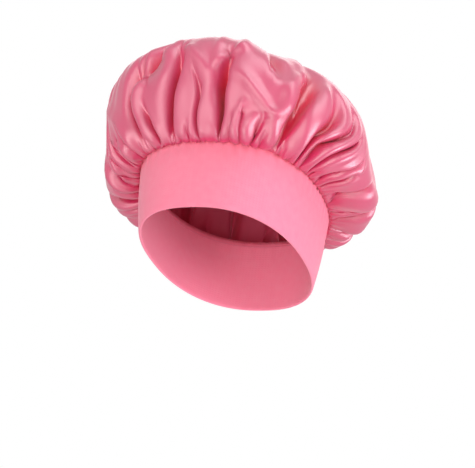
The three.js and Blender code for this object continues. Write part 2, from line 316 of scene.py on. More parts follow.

# %% [markdown]
# ## Where the satin folds
# The circle's edge is two and a half times as long as the seam, so the satin has to fold. A folded
# sheet can't stretch: each row of it keeps the length that it had in the flat circle. So the folds'
# places are given, and their depth is worked out, row by row, until the row is as long as
# the flat cloth. Each valley is a path that climbs from the seam: at a share of the way up it has a
# place round the head in degrees and a share of the depth. A place past 360 has gone once round.
# The back, which no one has seen, gets valleys of the same kind at even steps, and short valleys
# between the main ones are set by chance.

# %% Valleys of the crown
# width share, then stations of (way share, place in degrees, depth share)
valley_shares = [
    (0.8, [(0, 188, 0.6), (0.05, 189.5, 0.7), (0.08, 191, 0.9), (0.14, 189, 0.8), (0.22, 186, 0.6),
           (0.3, 184, 0)]),
    (1.0, [(0, 200, 1.0), (0.03, 201.5, 1.2), (0.06, 203.5, 1.4), (0.09, 207, 1.4), (0.12, 211, 1.1),
           (0.15, 215, 0.8), (0.2, 219, 0.3), (0.24, 222, 0)]),
    (0.9, [(0, 220, 0.5), (0.04, 221, 0.7), (0.08, 221.5, 0.7), (0.12, 221, 0.4), (0.15, 220.5, 0)]),
    (0.5, [(0, 232, 0.8), (0.04, 232.5, 0.9), (0.08, 233, 0.8), (0.12, 231.5, 0.5), (0.16, 229, 0)]),
    (1.0, [(0, 241, 0.3), (0.07, 241, 0.4), (0.12, 241.5, 0.5), (0.18, 238.5, 0.8), (0.24, 236.5, 1.1),
           (0.29, 237.5, 1.0), (0.33, 241, 0.9), (0.37, 246, 0.9), (0.41, 250.5, 0.8),
           (0.46, 254, 0.5), (0.54, 258, 0)]),
    (0.9, [(0, 250.5, 0.8), (0.04, 250, 1.1), (0.07, 250, 1.1), (0.12, 248.5, 0.9), (0.15, 247, 0.6),
           (0.2, 245.5, 0.3), (0.24, 244, 0)]),
    (1.2, [(0, 257.5, 0.7), (0.07, 258, 0.9), (0.14, 259, 1.2), (0.2, 258.5, 1.4), (0.25, 259.5, 1.2),
           (0.29, 261, 0.9), (0.34, 262, 0.6), (0.39, 262, 0.3), (0.44, 260, 0)]),
    (0.5, [(0, 272, 0.8), (0.04, 272, 1.0), (0.09, 270.5, 0.9), (0.13, 271, 0.5), (0.16, 271.5, 0.4),
           (0.2, 273, 0.4), (0.27, 272.5, 0.4), (0.31, 268, 0)]),
    (0.35, [(0, 276.5, 0.3), (0.16, 276, 0.3), (0.29, 275.5, 0.3), (0.38, 274, 0)]),
    (1.0, [(0, 281, 0.8), (0.05, 281.3, 1.2), (0.1, 281.7, 1.4), (0.15, 282.2, 1.5), (0.2, 281.3, 1.5),
           (0.26, 280.7, 1.3), (0.3, 281.5, 1.1), (0.33, 283.7, 0.9), (0.36, 287, 0.6),
           (0.39, 289.5, 0)]),
    (0.5, [(0, 286.5, 0.6), (0.06, 287, 0.7), (0.12, 287.5, 0.3), (0.16, 288, 0)]),
    (0.55, [(0, 291.5, 0.9), (0.05, 291.5, 1.3), (0.08, 291, 1.2), (0.11, 290, 0.7), (0.14, 289.5, 0)]),
    (0.5, [(0, 297, 0.8), (0.05, 297, 0.9), (0.09, 298, 0.7), (0.12, 299, 0.3), (0.15, 300, 0)]),
    (1.5, [(0, 308, 0.8), (0.06, 309, 1.0), (0.12, 309.5, 1.3), (0.19, 312, 1.4), (0.28, 315.5, 1.3),
           (0.4, 320, 0.9), (0.51, 326, 0.5), (0.6, 329, 0)]),
    (0.7, [(0, 308.5, 0), (0.3, 312, 0), (0.36, 309, 0.5), (0.41, 303.5, 0.8), (0.46, 299, 0.5),
           (0.54, 295, 0)]),
    (0.7, [(0, 322.5, 0.7), (0.12, 321, 0.8), (0.19, 323.5, 0.9), (0.28, 329.5, 0.8),
           (0.36, 337.5, 0.6), (0.46, 349, 0.3), (0.53, 355, 0)]),
    (0.5, [(0, 327, 0.7), (0.12, 325, 0.7), (0.18, 327.5, 0.8), (0.25, 334, 0.7), (0.34, 346.5, 0.3),
           (0.38, 350, 0)]),
    (0.6, [(0, 333.5, 0.7), (0.1, 331, 0.8), (0.17, 333, 0.8), (0.27, 344, 0.4), (0.32, 349, 0)]),
    (0.65, [(0, 344, 0.7), (0.04, 343, 0.9), (0.1, 340.5, 1.0), (0.17, 344.5, 0.9), (0.2, 348, 0.5),
            (0.24, 351, 0)]),
    (0.6, [(0, 350, 0.9), (0.04, 349.5, 1.1), (0.08, 348.5, 1.1), (0.12, 348, 0.8), (0.16, 349, 0)]),
    (0.6, [(0, 356.5, 0.6), (0.07, 358.5, 0.8), (0.12, 359, 0)]),
    (0.75, [(0, 370, 0.8), (0.05, 363, 0.9), (0.1, 361.5, 0.9), (0.15, 361.5, 0.9), (0.19, 364, 0.6),
            (0.24, 366, 0)]),
    (0.45, [(0, 375.5, 0.6), (0.06, 376.5, 0.7), (0.12, 377.5, 0.7), (0.18, 378, 0.4), (0.24, 378, 0)]),
    (0.8, [(0, 389, 0.7), (0.06, 385, 0.8), (0.11, 382, 0.8), (0.18, 381, 0.6), (0.26, 381, 0)]),
    (0.8, [(0, 397, 0.7), (0.07, 397.5, 0.8), (0.14, 402, 0.5), (0.2, 405, 0)]),
]
# broad hollows in the upper half: place, half width in degrees, depth share, way from, deepest, to
hollow_shares = [
    (204, 17, 0.9, 0.12, 0.28, 0.46), (250, 8, 1.2, 0.31, 0.4, 0.54), (303, 16, 0.6, 0.32, 0.52, 0.76),
    (9, 18, 1.0, 0.16, 0.34, 0.54), (75, 20, 0.7, 0.3, 0.5, 0.7), (130, 22, 0.7, 0.34, 0.5, 0.7),
]
hollow_depth = 10.0


def back_valleys(first=410, last=540, step=12.4, seed=3):
    chance = np.random.default_rng(seed)
    valleys = []
    for number, place in enumerate(np.arange(first, last, step)):
        tall = number % 2
        top = place + chance.uniform(-5, 5)
        reach, depth = (0.42, 1.1) if tall else (0.26, 0.8)
        valleys.append((0.8 + 0.3 * tall, [(0, place, 0.6), (0.3 * reach, (2 * place + top) / 3, depth),
                                           (0.7 * reach, top, 0.7 * depth), (reach, top, 0)]))
    return valleys


def small_valleys(main_valleys, seed=7, closed_gap=6.5, narrow_gap=9, wide_gap=16):
    """up to three short valleys between each pair of main ones; the gaps are in degrees"""
    chance = np.random.default_rng(seed)
    short = []
    for here, after in zip(main_valleys, main_valleys[1:] + main_valleys[:1]):
        foot, next_foot = here[1][0][1], after[1][0][1]
        foot_lean, next_lean = here[1][1][1] - foot, after[1][1][1] - next_foot
        gap = (next_foot - foot) % 360
        number = 1 if gap < narrow_gap else 2 if gap < wide_gap else 3
        for k in range(number if gap > closed_gap else 0):
            share = (k + 1) / (number + 1) + chance.uniform(-0.06, 0.06)
            lean = foot_lean * (1 - share) + next_lean * share
            place, reach = foot + gap * share, chance.uniform(0.06, 0.14)
            depth = chance.uniform(0.5, 0.9)
            short.append((0.55, [(0, place, depth), (0.6 * reach, place + lean / 2, 0.8 * depth),
                                 (reach, place + lean, 0)]))
    return short


main_valleys = valley_shares + back_valleys()
valleys = main_valleys + small_valleys(main_valleys)
print(len(valleys), "valleys")

# %% [markdown]
# ## Folding the rows
# Each row starts on the smooth outline. Every fold pushes the row inwards by a narrow bell and
# draws the cloth beside it over the valley, as a rolled lip. One number per row, found by halving,
# sets how deep all of that row's folds are. Next to the seam a row is let be shorter than its flat
# cloth, because the tightest gathers there are finer than the mesh can follow.

# %% Rows and columns of the cloth
columns, row_total = 384, 30


def ring(radius, turns, forward, height):
    """points round the head, at a radius that is one number or one for each turn"""
    heights = np.full(len(turns), height)
    return np.stack([radius * np.cos(turns), radius * np.sin(turns) - forward, heights], -1)


row_crowding = 1.3
ways = (np.arange(row_total) / (row_total - 1)) ** row_crowding
circle = np.radians(np.arange(0, 360.25, 0.25))
seam_line = ring(oval_radius(seam_half_width, seam_half_length, circle), circle, 0, 0)
seam_run = np.concatenate([[0], np.cumsum(np.linalg.norm(np.diff(seam_line, axis=0), axis=1))])
seam_girth = seam_run[-1]
even_turns = np.interp(np.arange(columns) / columns * seam_girth, seam_run, circle)
print(f"{row_total} rows of {columns} points on a seam of {seam_girth:.0f} mm")


# %% Lean of the threads
def at_way(stations, way, entry):
    return np.interp(way, [station[0] for station in stations], [station[entry] for station in stations])


def lean_at(degrees, way):
    """how far the threads lean sideways, following the valleys near them"""
    start = np.array([stations[0][1] for _, stations in main_valleys])
    lean = np.array([at_way(stations, min(way, 0.3), 1) for _, stations in main_valleys]) - start
    start = start % 360
    order = np.argsort(start)
    start, lean = start[order], lean[order]
    places = np.concatenate([start - 360, start, start + 360])
    leans = np.interp(degrees % 360, places, np.tile(lean, 3))
    kernel = np.ones(9) / 9
    leans = np.convolve(np.concatenate([leans[-4:], leans, leans[:4]]), kernel, "valid")
    return leans * (1 - smooth_step(way, 0.45, 1))


# %% Bells, lips and hollows of one row
bell_width, bell_growth, bell_steepness = 2.6, 15, 0.8
lip_share, lip_place, lip_width = 0.8, 1.6, 0.6


def around(degrees):
    return (degrees + 180) % 360 - 180


def row_length(points):
    return np.linalg.norm(np.roll(points, -1, 0) - points, axis=1).sum()


def row_facts(way):
    """the row's smooth points, their outward directions, its bells, its broad hollows and its girth"""
    seam_degrees = np.degrees(even_turns)
    settle_share = smooth_step(way, 0.35, 1.0)
    plain = np.arange(columns) / columns * 360
    degrees = (seam_degrees + lean_at(seam_degrees, way)) * (1 - settle_share) + plain * settle_share
    height = np.full(columns, way)
    girth = row_length(outline.read(outline.points, np.radians(degrees), height))
    rolled = degrees.copy()
    bells, hollows = np.zeros(columns), np.zeros(columns)
    for wide, stations in valleys:
        depth = at_way(stations, way, 2)
        if way < stations[0][0] or depth <= 0:
            continue
        distance = around(degrees - at_way(stations, way, 1)) / 360 * girth
        width = (bell_width + bell_growth * way) * wide
        bells += depth * np.exp(-bell_steepness * (distance / width) ** 2)
        lip = np.exp(-((np.abs(distance) / width - lip_place) / lip_width) ** 2) * np.sign(distance)
        rolled -= lip_share * min(depth, 1) * width * lip / girth * 360
    for at, half_width, depth, start, middle, end in hollow_shares:
        rise = smooth_step(way, start, middle) * (1 - smooth_step(way, middle, end))
        nearness = 1 - smooth_step(np.abs(around(degrees - at)) / half_width, 0, 1)
        hollows += hollow_depth * depth * rise * nearness
    place = np.radians(rolled)
    points = outline.read(outline.points, place, height)
    return points, outline.read(outline.outward, place, height), bells, hollows, girth


facts = [row_facts(way) for way in ways]
plain_points, outward, bells, hollows, girths = (np.array(column) for column in zip(*facts))
print(f"the outline is up to {max(girths):.0f} mm round")


# %% Chance swells of the panels
def soft_waves(row_ways, across, seed, places, steps, height):
    """chance swells and dents of the panels, longer up the crown than across it"""
    chance = np.random.default_rng(seed).normal(size=(steps, places))
    climb = np.interp(row_ways, np.linspace(0, 1, steps), np.arange(steps))
    waves = np.zeros((len(row_ways), across))
    for number, step in enumerate(climb):
        low = min(int(step), steps - 2)
        blend = smooth_step(step - low, 0, 1)
        row = chance[low] * (1 - blend) + chance[low + 1] * blend
        at = np.arange(across) / across * places
        left = at.astype(int) % places
        share = smooth_step(at - np.floor(at), 0, 1)
        waves[number] = row[left] * (1 - share) + row[(left + 1) % places] * share
    calm = smooth_step(row_ways, 0.04, 0.2) * (1 - smooth_step(row_ways, 0.7, 0.95))
    return height * waves * calm[:, None]


waves = soft_waves(ways, columns, seed=11, places=46, steps=10, height=1.3)
print(f"swells of up to {waves.max():.1f} mm")

# %% Folded rows, each as long as its cloth
deepest_fold = 25.0
deepest_bell, halvings = 26.0, 22


def folded_row(number, depth):
    folds = deepest_fold * np.tanh(bells[number] * depth / deepest_fold)
    inwards = folds + hollows[number] - waves[number]
    return plain_points[number] - outward[number] * inwards[:, None]


def print_lengths(title, rows):
    shares = [round(row_length(r) / max(f, 1), 2) for r, f in zip(rows[:-1:5], flat_lengths[::5])]
    print(title, shares)


# the rows get up to an eighth more than the circle gives, for the full look of worn satin
fullness = np.interp(ways, [0, 0.1, 0.3, 0.6, 0.85, 1], [1.0, 1.08, 1.12, 1.08, 1.01, 1.0])
flat_lengths = 2 * np.pi * cloth_radius * (1 - ways) * fullness
wanted_shares = [0.42, 0.5, 0.62, 0.74, 0.88, 0.97, 1.0]
wanted = flat_lengths * np.interp(ways, [0, 0.01, 0.03, 0.06, 0.1, 0.14, 1], wanted_shares)
depths = np.zeros(row_total)
for number in range(1, row_total - 1):
    shallow, deep = 0.0, deepest_bell
    for _ in range(halvings):
        middle = (shallow + deep) / 2
        if row_length(folded_row(number, middle)) < wanted[number]:
            shallow = middle
        else:
            deep = middle
    depths[number] = shallow
softened = np.convolve(np.pad(depths, 2, mode="edge"), np.array([1, 2, 3, 2, 1]) / 9, "valid")
depths = softened * np.minimum(ways / 0.012, 1)
crown_rows = np.array([folded_row(number, depth) for number, depth in enumerate(depths)])
crown_rows[-1] = crown_rows[-1].mean(0)
print_lengths("row length over flat length:", crown_rows)

# %% [markdown]
# ## Letting the satin settle
# The bells only say where the folds are. A real fold is rounded by the satin's stiffness, and its
# stretch evens out. Blender's Cloth could do this, but it would also let the chosen folds slip away.
# So the settling is written out: in many small moves each thread goes back to its own length, a
# little longer along the rows, sharp bends are eased and the air inside pushes outwards. Nothing
# leaves the outline by more than a millimetre or goes deeper than the head allows, and a weak pull
# holds each point near its place, so that every fold stays where it was drawn.

# %% Settle the rows into real folds
smooth_points = plain_points - outward * hollows[..., None]
seam_distance = ways * cloth_radius
valley_strength = np.clip(bells, 0, 1.5)[..., None]


def pull(edge, rest):
    """half of what each thread is too long, along the thread"""
    length = np.linalg.norm(edge, axis=2, keepdims=True) + 1e-9
    return edge * (0.5 * (length - rest) / length)


def facing_out(rows):
    """directions out of the cloth, one for each point"""
    facing = np.cross(np.roll(rows, -1, 1) - np.roll(rows, 1, 1), np.gradient(rows, axis=0))
    return facing / (np.linalg.norm(facing, axis=2, keepdims=True) + 1e-9)


def settle(rows, steps=300, along_bend=0.05, up_bend=0.3, longer=1.04, air=0.03, hold=0.02, keep=0.02,
           deepest=34.0, over=1.0):
    """air, deepest and over are in mm, longer is a factor, the others are shares of a step"""
    start, rows = rows, rows.copy()
    freedom = np.clip((seam_distance - 1) / 8, 0, 1)[:, None, None]
    floor = np.minimum(deepest, 3 + 0.9 * seam_distance)[:, None, None]
    along_rest = np.linalg.norm(np.roll(rows, -1, 1) - rows, axis=2, keepdims=True) * longer
    up_rest = np.linalg.norm(rows[1:] - rows[:-1], axis=2, keepdims=True)
    for step in range(steps):
        moves = np.zeros_like(rows)
        shift = pull(np.roll(rows, -1, 1) - rows, along_rest)
        moves += shift - np.roll(shift, 1, 1)
        shift = pull(rows[1:] - rows[:-1], up_rest)
        moves[:-1] += shift
        moves[1:] -= shift
        rows = rows + 0.5 * moves * freedom
        curve = (np.roll(rows, 1, 1) + np.roll(rows, -1, 1)) / 2 - rows
        rows = rows - along_bend * freedom * ((np.roll(curve, 1, 1) + np.roll(curve, -1, 1)) / 2 - curve)
        curve, change = np.zeros_like(rows), np.zeros_like(rows)
        curve[1:-1] = (rows[2:] + rows[:-2]) / 2 - rows[1:-1]
        change[2:-2] = (curve[3:-1] + curve[1:-3]) / 2 - curve[2:-2]
        rows = rows - up_bend * freedom * change
        if step % 4 == 0:
            facing = facing_out(rows)
        rows = rows + air * facing * freedom
        height = ((rows - smooth_points) * outward).sum(2, keepdims=True)
        outside, too_deep = np.maximum(height - over, 0), np.maximum(-height - floor, 0)
        rows = rows + outward * freedom * (0.3 * too_deep - 0.5 * outside)
        drift = start - rows
        depth_drift = outward * (drift * outward).sum(2, keepdims=True)
        rows = rows + (hold * (drift - depth_drift) + keep * valley_strength * depth_drift) * freedom
        rows[-1] = rows[-1].mean(0)
    return rows


crown_rows = settle(crown_rows)
crown_tip = crown_rows[-1].mean(0)
print_lengths("row length over flat length, settled:", crown_rows)

# %% [markdown]
# ## Finer rows
# The settled rows are made twice as fine by cubic curves through them, which costs no time. A
# subdivision surface would be slow at the crown's middle, where all columns meet.

# %% Finer rows
def halfway(a, b, c, d):
    return (9 * (b + c) - a - d) / 16


def twice_as_fine(rows):
    """adds a point between all columns, which form a ring, and a row between all rows"""
    between = halfway(np.roll(rows, 1, 1), rows, np.roll(rows, -1, 1), np.roll(rows, -2, 1))
    wide = np.stack([rows, between], 2).reshape(len(rows), -1, rows.shape[2])
    before, after = 2 * wide[:1] - wide[1:2], np.roll(wide[-2:-1], columns, 1)
    padded = np.concatenate([before, wide, after])
    middle = halfway(padded[:-3], padded[1:-2], padded[2:-1], padded[3:])
    fine = np.zeros((2 * len(wide) - 1,) + wide.shape[1:])
    fine[::2], fine[1::2] = wide, middle
    return fine


fine_rows = twice_as_fine(crown_rows)
fold_depths = twice_as_fine(((plain_points - crown_rows) * outward).sum(2, keepdims=True))[..., 0]
fine_ways = np.interp(np.arange(len(fine_rows)) / 2, np.arange(row_total), ways)
fine_columns = 2 * columns
fine_turns = np.interp(np.arange(fine_columns) / fine_columns * seam_girth, seam_run, circle)
print("fine rows:", fine_rows.shape[:2])

# %% [markdown]
# ## Ridges of the panels
# Between two valleys the satin doesn't lie as a smooth pillow. It stands up in soft creases that
# part and cross the panels, and these catch the light first. They are drawn like the valleys
# and pushed out of the settled cloth, because the settling would ease them away.

# %% Ridges of the panels
# width share, then stations of (way share, place in degrees, height share)
ridge_shares = [
    (0.9, [(0.16, 302.5, 0), (0.18, 301, 0.8), (0.22, 297, 1.0), (0.27, 292, 1.0), (0.31, 288, 0.7),
           (0.35, 287, 0.2), (0.38, 287, 0)]),
    (0.6, [(0.16, 303.5, 0), (0.19, 305.5, 0.9), (0.22, 307.5, 1.0), (0.25, 308.5, 1.0),
           (0.32, 308.5, 0.9), (0.38, 312, 0.8), (0.46, 318, 0.5), (0.55, 326, 0)]),
    (0.55, [(0.12, 277.5, 0), (0.18, 277, 0.3), (0.26, 276.5, 0.5), (0.3, 276.8, 0.7),
            (0.34, 278.5, 0.9), (0.37, 281.5, 0.9), (0.39, 284.5, 0.9), (0.41, 288, 0.8),
            (0.45, 289.5, 0.6), (0.53, 288.5, 0.3), (0.6, 288, 0)]),
    (0.6, [(0.3, 277, 0), (0.37, 277.5, 0.4), (0.42, 278.5, 0.6), (0.47, 279, 0.5), (0.55, 280, 0)]),
    (0.8, [(0.25, 274, 0), (0.29, 273.5, 0.6), (0.34, 272, 0.8), (0.39, 267.5, 0.8),
           (0.43, 262.5, 0.6), (0.5, 258, 0)]),
    (0.8, [(0.18, 254.5, 0), (0.26, 255.5, 0.6), (0.32, 258, 0.7), (0.38, 258.5, 0.7),
           (0.43, 255.5, 0.5), (0.5, 252, 0)]),
    (0.7, [(0.02, 231, 0), (0.08, 233.5, 0.6), (0.12, 234.5, 0.8), (0.18, 231, 0.8),
           (0.27, 223.5, 0.5), (0.33, 219, 0)]),
    (0.6, [(0.06, 243, 0), (0.12, 244, 0.5), (0.2, 242, 0.8), (0.26, 242, 0.9), (0.31, 245, 0.9),
           (0.35, 249.5, 0.8), (0.39, 254, 0.6), (0.44, 257, 0)]),
    (0.5, [(0.05, 206, 0), (0.07, 210.5, 0.6), (0.1, 214, 0.8), (0.13, 215.5, 0.8), (0.16, 216.5, 0.5),
           (0.19, 219, 0)]),
    (0.5, [(0.01, 227, 0), (0.05, 229, 0.6), (0.1, 229.5, 0.8), (0.13, 226.5, 0.7), (0.155, 223, 0.5),
           (0.19, 220, 0)]),
    (0.5, [(0.02, 202, 0), (0.05, 201.5, 0.5), (0.1, 202.5, 0.8), (0.14, 204, 0.8), (0.17, 207, 0.5),
           (0.21, 211, 0)]),
    (1.2, [(0.02, 370, 0), (0.07, 370, 0.5), (0.13, 370.5, 0.6), (0.2, 372, 0.4), (0.26, 373, 0)]),
    (0.5, [(0.02, 293, 0), (0.05, 293.5, 0.7), (0.09, 293.5, 0.9), (0.12, 294, 0.9), (0.145, 296, 0.6),
           (0.17, 297, 0)]),
    (0.4, [(0.02, 287.5, 0), (0.05, 288.5, 0.7), (0.1, 288.5, 0.9), (0.15, 289, 0.9), (0.18, 291, 0.7),
           (0.21, 292, 0)]),
    (0.5, [(0.03, 304, 0), (0.06, 304.5, 0.5), (0.11, 305, 0.7), (0.16, 304, 0.6), (0.2, 302, 0)]),
]
ridge_height, ridge_width = 5.0, 9


def ridge_row(row, way):
    """how far each point of a row stands out, by its own turn round the cap"""
    set_forward = seam_set_forward + forward_lean_share * np.maximum(row[:, 2] - band_height, 0)
    degrees = np.degrees(np.arctan2(row[:, 1] + set_forward, row[:, 0]))
    girth = np.interp(way, ways, girths)
    rise = np.zeros(len(row))
    for wide, stations in ridge_shares:
        distance = around(degrees - at_way(stations, way, 1)) / 360 * girth
        rise += ridge_height * at_way(stations, way, 2) * np.exp(-(distance / (ridge_width * wide)) ** 2)
    return rise


facing = facing_out(fine_rows)
for number, way in enumerate(fine_ways[:-1]):
    fine_rows[number] += facing[number] * ridge_row(fine_rows[number], way)[:, None]
print("ridges added")

# %% [markdown]
# ## Puckers and wrinkles
# The gathered edge is caught by the stitches every few millimetres and bulges between them in tiny
# loops, no two alike. Further up, thin satin is never quite smooth. Both are chance with fixed
# seeds. They are real height and not a bump map, so that the edge is uneven in outline too.

# %% Puckers along the seam and soft wrinkles
pucker_height, pucker_count = 1.6, 150


def pucker_row(way, seed=5):
    """tiny loops where the gathered edge is caught by the stitches, in millimetres outwards"""
    chance = np.random.default_rng(seed)
    edges = np.cumsum(chance.uniform(0.5, 1.6, pucker_count))
    edges *= fine_columns / edges[-1]
    heights, reaches = chance.uniform(0.5, 1.3, pucker_count), chance.uniform(0.03, 0.09, pucker_count)
    at = np.arange(fine_columns)
    which = np.searchsorted(edges, at, side="right") % pucker_count
    starts = np.concatenate([[0], edges[:-1]])
    share = (at - starts[which]) / (edges - starts)[which]
    rise = smooth_step(way, 0, 0.01) * (1 - smooth_step(way / reaches[which], 0.4, 1))
    return pucker_height * heights[which] * rise * (np.sin(np.pi * share) ** 0.7 - 0.4)


for number, way in enumerate(fine_ways[:12]):
    fine_rows[number] += facing[number] * pucker_row(way)[:, None]
wrinkles = soft_waves(fine_ways, fine_columns, seed=21, places=120, steps=6, height=0.35)
wrinkles += soft_waves(fine_ways, fine_columns, seed=22, places=70, steps=9, height=0.55)
fine_rows[:-1] += facing[:-1] * wrinkles[:-1, :, None]
print("puckers and wrinkles added")

# %% [markdown]
# ## The satin circle as a mesh
# The flat UV map is the circle that the satin was cut from, so the warp runs straight across the
# crown in one direction, as on real satin. The edge is turned up inside as the seam allowance. The
# depth of the folds goes along as an attribute, for their painted shade: a fuller red deep in the
# folds and on the turned-up allowance.

# %% Crown mesh
# from the raw edge to the seam: out from the seam line, height, satin left to the seam line
allowance_steps = [(0.35, raw_edge_height, seam_allowance), (0.35, 65.6, 0.6 * seam_allowance),
                   (0.35, 63.4, 0.25 * seam_allowance), (0.4, 62.4, 1.0), (0.7, 61.9, 0.4)]


def seam_ring(turns, out, height):
    radius = oval_radius(seam_half_width, seam_half_length, turns) + out
    return ring(radius, turns, seam_set_forward, height)


allowance_rows = [seam_ring(fine_turns, out, height) for out, height, _ in allowance_steps]
all_rows = np.concatenate([allowance_rows, fine_rows[:-1]])
allowance_reach = np.array([reach for _, _, reach in allowance_steps])
flat_radii = np.concatenate([cloth_radius + allowance_reach, cloth_radius * (1 - fine_ways[:-1])])
flat_turns = np.linspace(0, 2 * np.pi, fine_columns + 1)
flat_points = flat_radii[:, None, None] * np.stack([np.cos(flat_turns), np.sin(flat_turns)], -1)[None]
crown = cloth_from_rows("satin_crown", all_rows, flat_points, crown_tip)
# painted shade: 0 on open satin, rising to 1 in folds 16 mm deep, and 1 on the allowance inside the cap
shallow_fold, full_fold = 1.5, 16
painted_fold_shade = np.concatenate([np.ones((len(allowance_steps), fine_columns)),
                             smooth_step(fold_depths[:-1], shallow_fold, full_fold)])
painted_fold_shade_layer = crown.data.attributes.new("fold", "FLOAT", "POINT")
painted_fold_shade_layer.data.foreach_set("value", np.append(painted_fold_shade.ravel(), 0))
print("crown:", len(crown.data.vertices), "points")


# %% Thickness of the satin
def thicken(piece, thickness, *materials):
    """gives a sheet its thickness in mm; the first material is its face, the last its back"""
    layer = piece.modifiers.new("thickness", "SOLIDIFY")
    layer.thickness = thickness * MILLIMETRE
    layer.offset = 0
    layer.material_offset = len(materials) - 1
    for material in materials:
        piece.data.materials.append(material)
    finish_modifiers(piece)
    print(piece.name, "with its thickness:", len(piece.data.polygons), "faces")


thicken(crown, satin_thickness, satin_face, satin_back)

# %% [markdown]
# ## The knit band
# One strip, folded double. The fold is the rim, soft and round, and the two raw edges stand up
# inside the crown in the seam. Its face swells slightly between rim and seam, as stretched knit does
# on a head, and puckers a little where the gathers pull at it. A flat strip bent by a modifier would
# do too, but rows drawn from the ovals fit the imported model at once.

# %% Headband mesh
band_columns = 360
band_turns = np.linspace(0, 2 * np.pi, band_columns, endpoint=False)
half_ply = knit_thickness / 2
inner_depth = 2 * knit_thickness + ply_gap - half_ply


def band_row(depth, height, swell=0.0):
    """a ring of the band, at a depth inside its face, with a swell at half height, all in mm"""
    share = min(max(height / band_height, 0), 1)
    rim = oval_radius(rim_half_width, rim_half_length, band_turns)
    seam = oval_radius(seam_half_width, seam_half_length, band_turns)
    bulge = swell * math.sin(math.pi * share)
    gathers = np.cos(58 * band_turns + 2 * np.sin(5 * band_turns))
    pucker = 0.35 * swell * smooth_step(share, 0.72, 0.98) * gathers
    radius = rim + (seam - rim) * share - depth + bulge + pucker
    return ring(radius, band_turns, seam_set_forward * share, height)


fold_middle = (half_ply + inner_depth) / 2
fold_half = (inner_depth - half_ply) / 2
fold_top, fold_drop = 1.9, 1.45
outer_swell, inner_swell = 1.6, 0.5
ply_heights = [raw_edge_height, 65.0, 63.0, 62.0, 61.0, 59.5, 57, 53, 48, 42, 36, 30, 24, 18, 12, 8, 5, 3]
fold_angles = np.linspace(0, math.pi, 9)[1:-1]
outer_ply = [band_row(half_ply, height, outer_swell) for height in ply_heights]
rim_fold = [band_row(fold_middle - fold_half * math.cos(angle), fold_top - fold_drop * math.sin(angle))
            for angle in fold_angles]
inner_ply = [band_row(inner_depth, height, inner_swell) for height in ply_heights[::-1]]
band_rows = np.array(outer_ply + rim_fold + inner_ply)
band_steps = np.linalg.norm(np.diff(band_rows[:, 0], axis=0), axis=1)
band_reach = np.concatenate([[0], np.cumsum(band_steps)])
rim_girth = row_length(band_row(0, 0))
across = np.arange(band_columns + 1) / band_columns * (rim_girth + seam_girth) / 2
band_flat = np.stack(np.broadcast_arrays(across[None, :], band_reach[:, None]), -1)
headband = cloth_from_rows("knit_headband", band_rows, band_flat)
thicken(headband, 0.8 * knit_thickness, knit_jersey)
print(f"band: strip {across[-1]:.0f} x {band_reach[-1]:.0f} mm")

# %% [markdown]
# ## The threads
# Sewing thread shows inside the cap. The overlock wraps the raw edges with a loop at every stitch, a
# straight row of stitches joins crown and band, and a running thread draws up the satin. All of them
# repeat one small shape along the seam, which is what Geometry Nodes do best: a path, a pitch, and
# one stitch bent from a short curve. The thread is spun polyester: short fibres, twisted, which look
# matte and a little fuzzy, so its shade changes over a millimetre and its sheen is soft.

# %% Thread material
def make_thread(name, hex_colour):
    material, tree = new_material(name)
    place = add_node(tree, "ShaderNodeTexCoord")
    fuzz = add_node(tree, "ShaderNodeTexNoise", {"Vector": place.outputs["Object"]},
                    in_Scale=900.0, in_Detail=2.0)
    spread = add_node(tree, "ShaderNodeMapRange", {"Value": fuzz}, in_3=0.9, in_4=1.08)
    shade = add_node(tree, "ShaderNodeHueSaturation", {"Value": spread}, in_Color=linear(hex_colour))
    bump = add_node(tree, "ShaderNodeBump", {"Height": fuzz}, in_Strength=0.3, in_Distance=0.0001)
    thread = add_node(tree, "ShaderNodeBsdfPrincipled", {"Base Color": shade, "Normal": bump},
                      in_Roughness=0.7, in_Sheen_Weight=0.2, in_Sheen_Roughness=0.4)
    add_node(tree, "ShaderNodeOutputMaterial", {"Surface": thread})
    return material


sewing_thread = make_thread("thread_spun_polyester", "#F27F9C")


# %% A node tree that sews one stitch shape along a path
# key, name of the input, its value in metres or radians where sew gives none
stitch_sizes = [("pitch", "Pitch", 0.0048), ("length", "Stitch length", 0.003), ("rise", "Rise", 0.0004),
                ("thread", "Thread thickness", 0.0005), ("turn", "Turn across the path", 0.0)]


def add_input(tree, name, kind, value=None):
    socket = tree.interface.new_socket(name=name, in_out="INPUT", socket_type=kind)
    if value is not None:
        socket.default_value = value
    return socket.identifier


